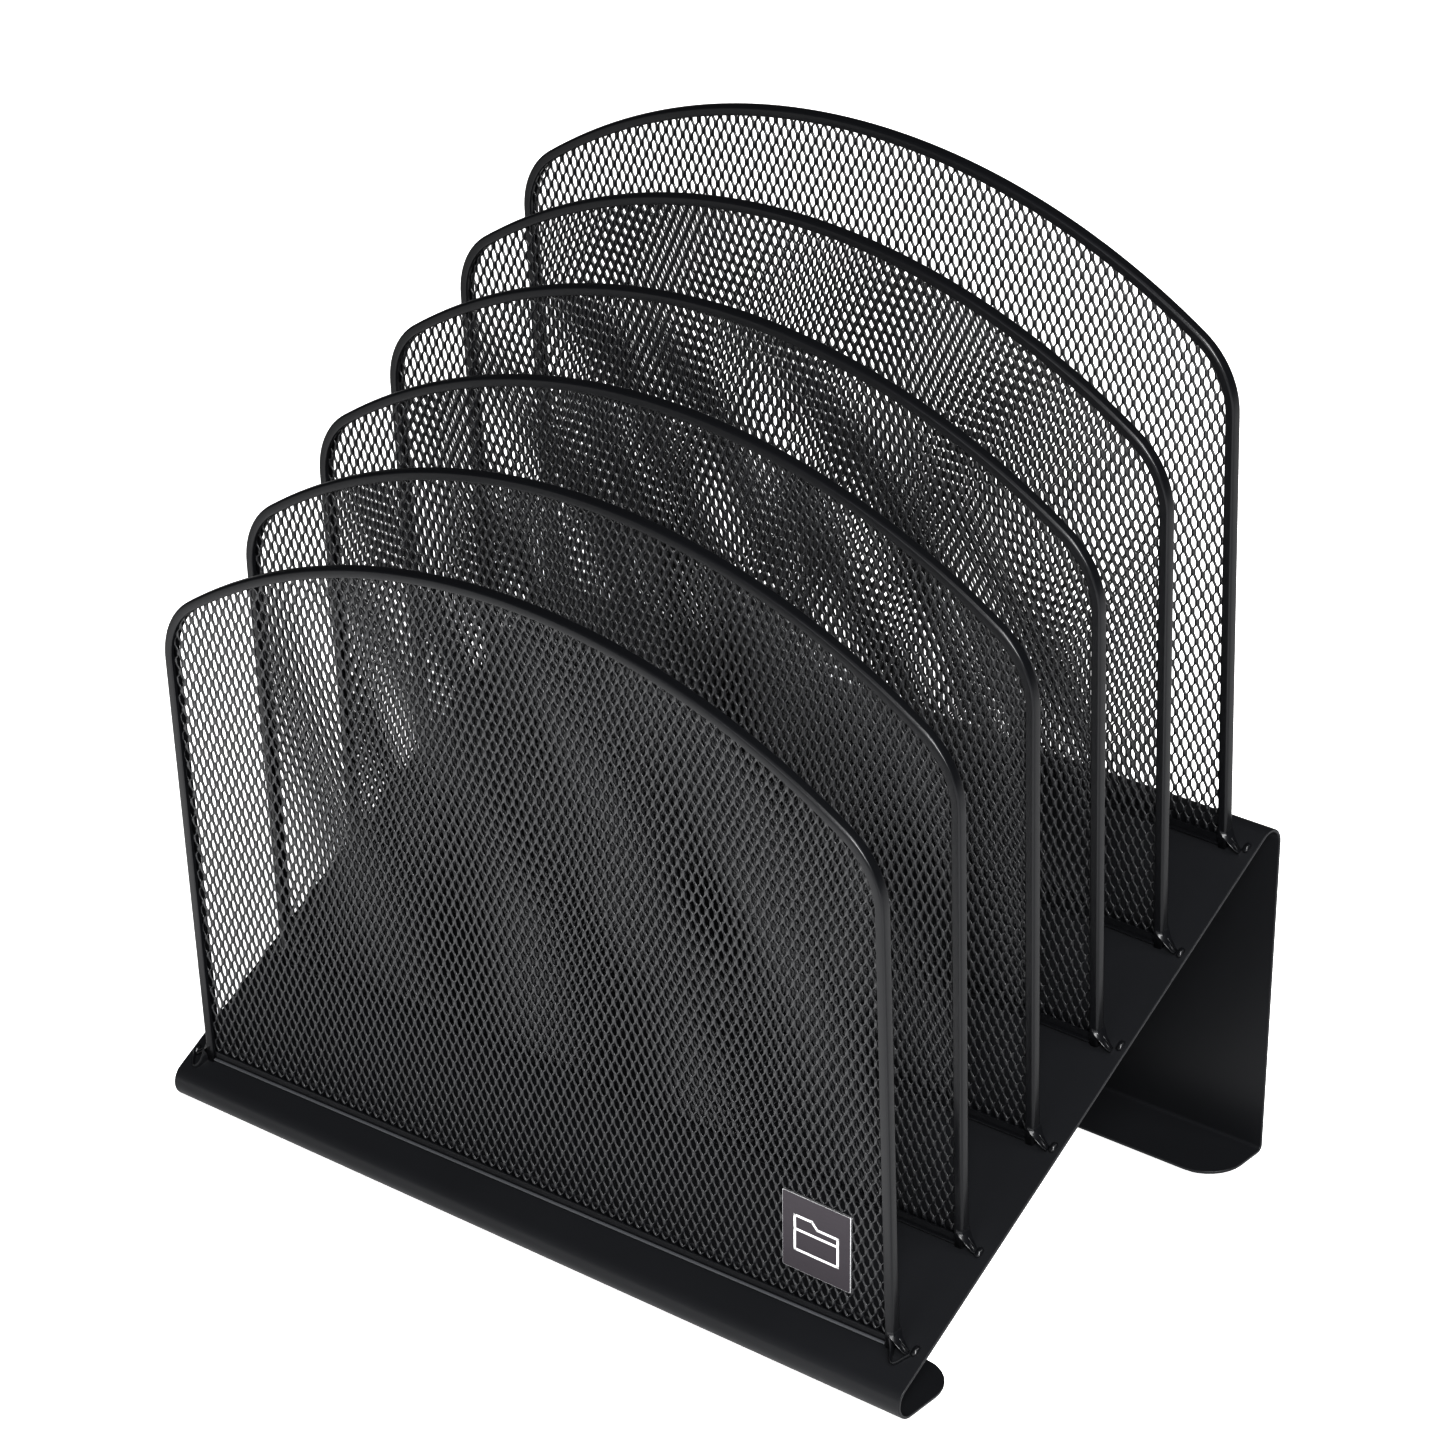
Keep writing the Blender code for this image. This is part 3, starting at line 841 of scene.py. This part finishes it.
def make_tabs():
    """The feet of every divider with their weld beads, and the front divider's two lips."""
    coat = MATS["coated_rim"]
    bead_mesh = make_bead_mesh()
    for side, sign in (("left", -1), ("right", 1)):
        tab = make_tab_mesh(f"tab_{side}", sign)
        lip = make_lip_mesh(f"lip_{side}", sign)
        piece(f"weld_tab_{side}_1_lip", lip, coat, divider_stand(0), [])
        for index, (out, uphill) in enumerate(BEADS[side]):
            name = f"weld_tab_{side}_{index + 1}"
            stand = divider_stand(index)
            piece(name + "_fine", tab, coat, stand, [name])
            spot = Vector((sign * (DIVIDER_WIDTH / 2 + out), 0, 0)) + SLOPE_DIR * uphill
            spot += SLOPE_NORMAL * BEAD_HEIGHT
            lie = Matrix.Translation(spot) @ Matrix.Rotation(TRAY_SLOPE, 4, "X")
            piece(name + "_bead", bead_mesh, coat, stand @ lie, [])


# ---------------------------------------------------------------------------------------------
# Badge and feet
# ---------------------------------------------------------------------------------------------

def plate_mesh(outline, low, high, bevel):
    """A flat plate with an outline (x, z), from y = low, the side that is bevelled, to y = high."""
    bm = bmesh.new()
    rings = [[bm.verts.new((x, y, z)) for x, z in outline] for y in (low, high)]
    count = len(outline)
    for i in range(count):
        j = (i + 1) % count
        bm.faces.new((rings[0][i], rings[0][j], rings[1][j], rings[1][i]))
    bm.faces.new(rings[0][::-1])
    bm.faces.new(rings[1])
    if bevel:
        rim = [e for e in bm.edges if max(v.co.y for v in e.verts) < (low + high) / 2]
        bmesh.ops.bevel(bm, geom=rim, offset=bevel, segments=2, affect="EDGES", profile=0.5)
    return bm


def rounded_rectangle(width, height, radius):
    """Outline of an upright rectangle with round corners."""
    points = []
    for start, sx, sz in ((0, 1, 1), (1, -1, 1), (2, -1, -1), (3, 1, -1)):
        centre = (sx * (width / 2 - radius), sz * (height / 2 - radius))
        points += arc(centre, radius, start * pi / 2, (start + 1) * pi / 2, 4)
    return points


def stroke(start, end, width):
    """Outline of a straight line of the given width, with square ends."""
    along = (Vector(end) - Vector(start)).normalized() * width / 2
    side = Vector((-along.y, along.x))
    a, b = Vector(start) - along, Vector(end) + along
    return [tuple(p) for p in (a + side, a - side, b - side, b + side)]


def make_badge():
    """A bright bevelled plate, a dark face and a simple line drawing of a file folder."""
    place = divider_place(0) @ Matrix.Translation((BADGE_CENTRE[0], -BADGE_AHEAD, BADGE_CENTRE[1]))
    place = place @ Matrix.Rotation(BADGE_TURN, 4, "Y")
    front = -BADGE_THICK / 2
    outline = rounded_rectangle(BADGE_WIDTH, BADGE_HEIGHT, BADGE_CORNER)
    inner = rounded_rectangle(BADGE_WIDTH - 2 * BADGE_MARGIN, BADGE_HEIGHT - 2 * BADGE_MARGIN,
                              FACE_CORNER)
    parts = [(plate_mesh(outline, front + PLATE_BEHIND, -front, BADGE_BEVEL), 2),
             (plate_mesh(inner, front + FACE_BEHIND, front + FACE_BACK, 0), 0)]
    for start, end in list(zip(FOLDER, FOLDER[1:] + FOLDER[:1])) + [FOLDER_LINE]:
        line = stroke(start, end, LINE_WIDTH)
        parts.append((plate_mesh(line, front, front + LINE_THICK, 0), 1))
    mesh = bpy.data.meshes.new("badge_fine")
    whole = bmesh.new()
    for part, slot in parts:
        bmesh.ops.recalc_face_normals(part, faces=part.faces)
        for face in part.faces:
            face.material_index = slot
        part.to_mesh(mesh)
        part.free()
        whole.from_mesh(mesh)
    whole.to_mesh(mesh)
    whole.free()
    for name in ("badge", "badge_mark", "badge_edge"):
        mesh.materials.append(MATS[name])
    piece("badge_fine", mesh, MATS["badge"], place, ["badge_plate"])


def make_feet():
    """Turned rubber pads with a rounded lower edge."""
    for name in sorted(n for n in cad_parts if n.startswith("foot_")):
        low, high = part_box(name)
        radius = (high.x - low.x) / 2
        height = high.z - low.z
        r = PAD_ROUND
        profile = [(0.0, height + PAD_UP), (radius, height + PAD_UP)]
        profile += [(radius - r + r * cos(a), r - r * sin(a)) for a in np.linspace(0, pi / 2, 5)]
        profile += [(radius * PAD_HOLLOW[0], 0.0), (radius * PAD_HOLLOW[1], PAD_HOLLOW_DEPTH),
                    (0.0, PAD_HOLLOW_DEPTH)]
        bm = bmesh.new()
        verts = [bm.verts.new((x, 0, z)) for x, z in profile]
        for a, b in zip(verts, verts[1:]):
            bm.edges.new((a, b))
        bmesh.ops.spin(bm, geom=bm.verts[:] + bm.edges[:], cent=(0, 0, 0), axis=(0, 0, 1),
                       angle=2 * pi, steps=40, use_duplicate=False)
        bmesh.ops.remove_doubles(bm, verts=bm.verts, dist=PAD_WELD)
        mesh = mesh_from_bmesh(name + "_fine", bm, 40)
        centre = Vector(((low.x + high.x) / 2, (low.y + high.y) / 2, low.z))
        piece(name + "_fine", mesh, MATS["rubber"], Matrix.Translation(centre), [name])


# ---------------------------------------------------------------------------------------------
# Floor, light and camera
# ---------------------------------------------------------------------------------------------

def make_stage():
    """A pale floor. It glows for the camera only, so that it stays white and lights nothing."""
    bm = bmesh.new()
    spots = ((-FLOOR_HALF, -FLOOR_HALF), (FLOOR_HALF, -FLOOR_HALF), (FLOOR_HALF, FLOOR_HALF),
             (-FLOOR_HALF, FLOOR_HALF))
    bm.faces.new([bm.verts.new((x, y, FLOOR_Z)) for x, y in spots])
    mesh = bpy.data.meshes.new("floor")
    bm.to_mesh(mesh)
    bm.free()
    floor = bpy.data.objects.new("floor", mesh)
    bpy.context.scene.collection.objects.link(floor)
    mat = bpy.data.materials.new("floor")
    mat.use_nodes = True
    shader = mat.node_tree.nodes["Principled BSDF"]
    shader.inputs["Base Color"].default_value = (FLOOR_WHITE, FLOOR_WHITE, FLOOR_WHITE, 1)
    shader.inputs["Roughness"].default_value = FLOOR_ROUGHNESS
    shader.inputs["Emission Color"].default_value = (1, 1, 1, 1)
    rays = mat.node_tree.nodes.new("ShaderNodeLightPath")
    glow = mat.node_tree.nodes.new("ShaderNodeMath")
    glow.operation = "MULTIPLY"
    glow.inputs[1].default_value = FLOOR_GLOW
    mat.node_tree.links.new(rays.outputs["Is Camera Ray"], glow.inputs[0])
    mat.node_tree.links.new(glow.outputs["Value"], shader.inputs["Emission Strength"])
    mesh.materials.append(mat)


def area_light(name, location, target, size, power):
    """A soft box that faces its target."""
    data = bpy.data.lights.new(name, "AREA")
    data.shape = "RECTANGLE"
    data.size, data.size_y = size
    data.energy = power
    obj = bpy.data.objects.new(name, data)
    bpy.context.scene.collection.objects.link(obj)
    obj.location = location
    aim = Vector(target) - Vector(location)
    obj.rotation_euler = aim.to_track_quat("-Z", "Y").to_euler()


def make_light():
    """The dim room, the soft boxes and the picture's tones."""
    scene = bpy.context.scene
    world = bpy.data.worlds.new("studio")
    world.use_nodes = True
    background = world.node_tree.nodes["Background"]
    background.inputs["Color"].default_value = (1, 1, 1, 1)
    background.inputs["Strength"].default_value = WORLD
    scene.world = world
    for name, (location, target, size, power) in LIGHTS.items():
        area_light(name, location, target, size, power)
    scene.view_settings.view_transform = "Standard"
    scene.view_settings.gamma = CONTRAST_GAMMA


def make_camera():
    """A long lens, seeing the sorter from its front right and from above."""
    data = bpy.data.cameras.new("camera")
    data.sensor_width = SENSOR
    data.lens = LENS
    data.clip_start = 0.05
    camera = bpy.data.objects.new("camera", data)
    bpy.context.scene.collection.objects.link(camera)
    back = Vector((sin(CAMERA_AZIMUTH) * cos(CAMERA_ELEVATION),
                   -cos(CAMERA_AZIMUTH) * cos(CAMERA_ELEVATION), sin(CAMERA_ELEVATION)))
    camera.location = CAMERA_AIM + CAMERA_DISTANCE * back
    camera.rotation_euler = (pi / 2 - CAMERA_ELEVATION, 0, CAMERA_AZIMUTH)
    bpy.context.scene.camera = camera


make_base()
make_dividers()
make_tabs()
make_badge()
make_feet()
make_stage()
make_light()
make_camera()
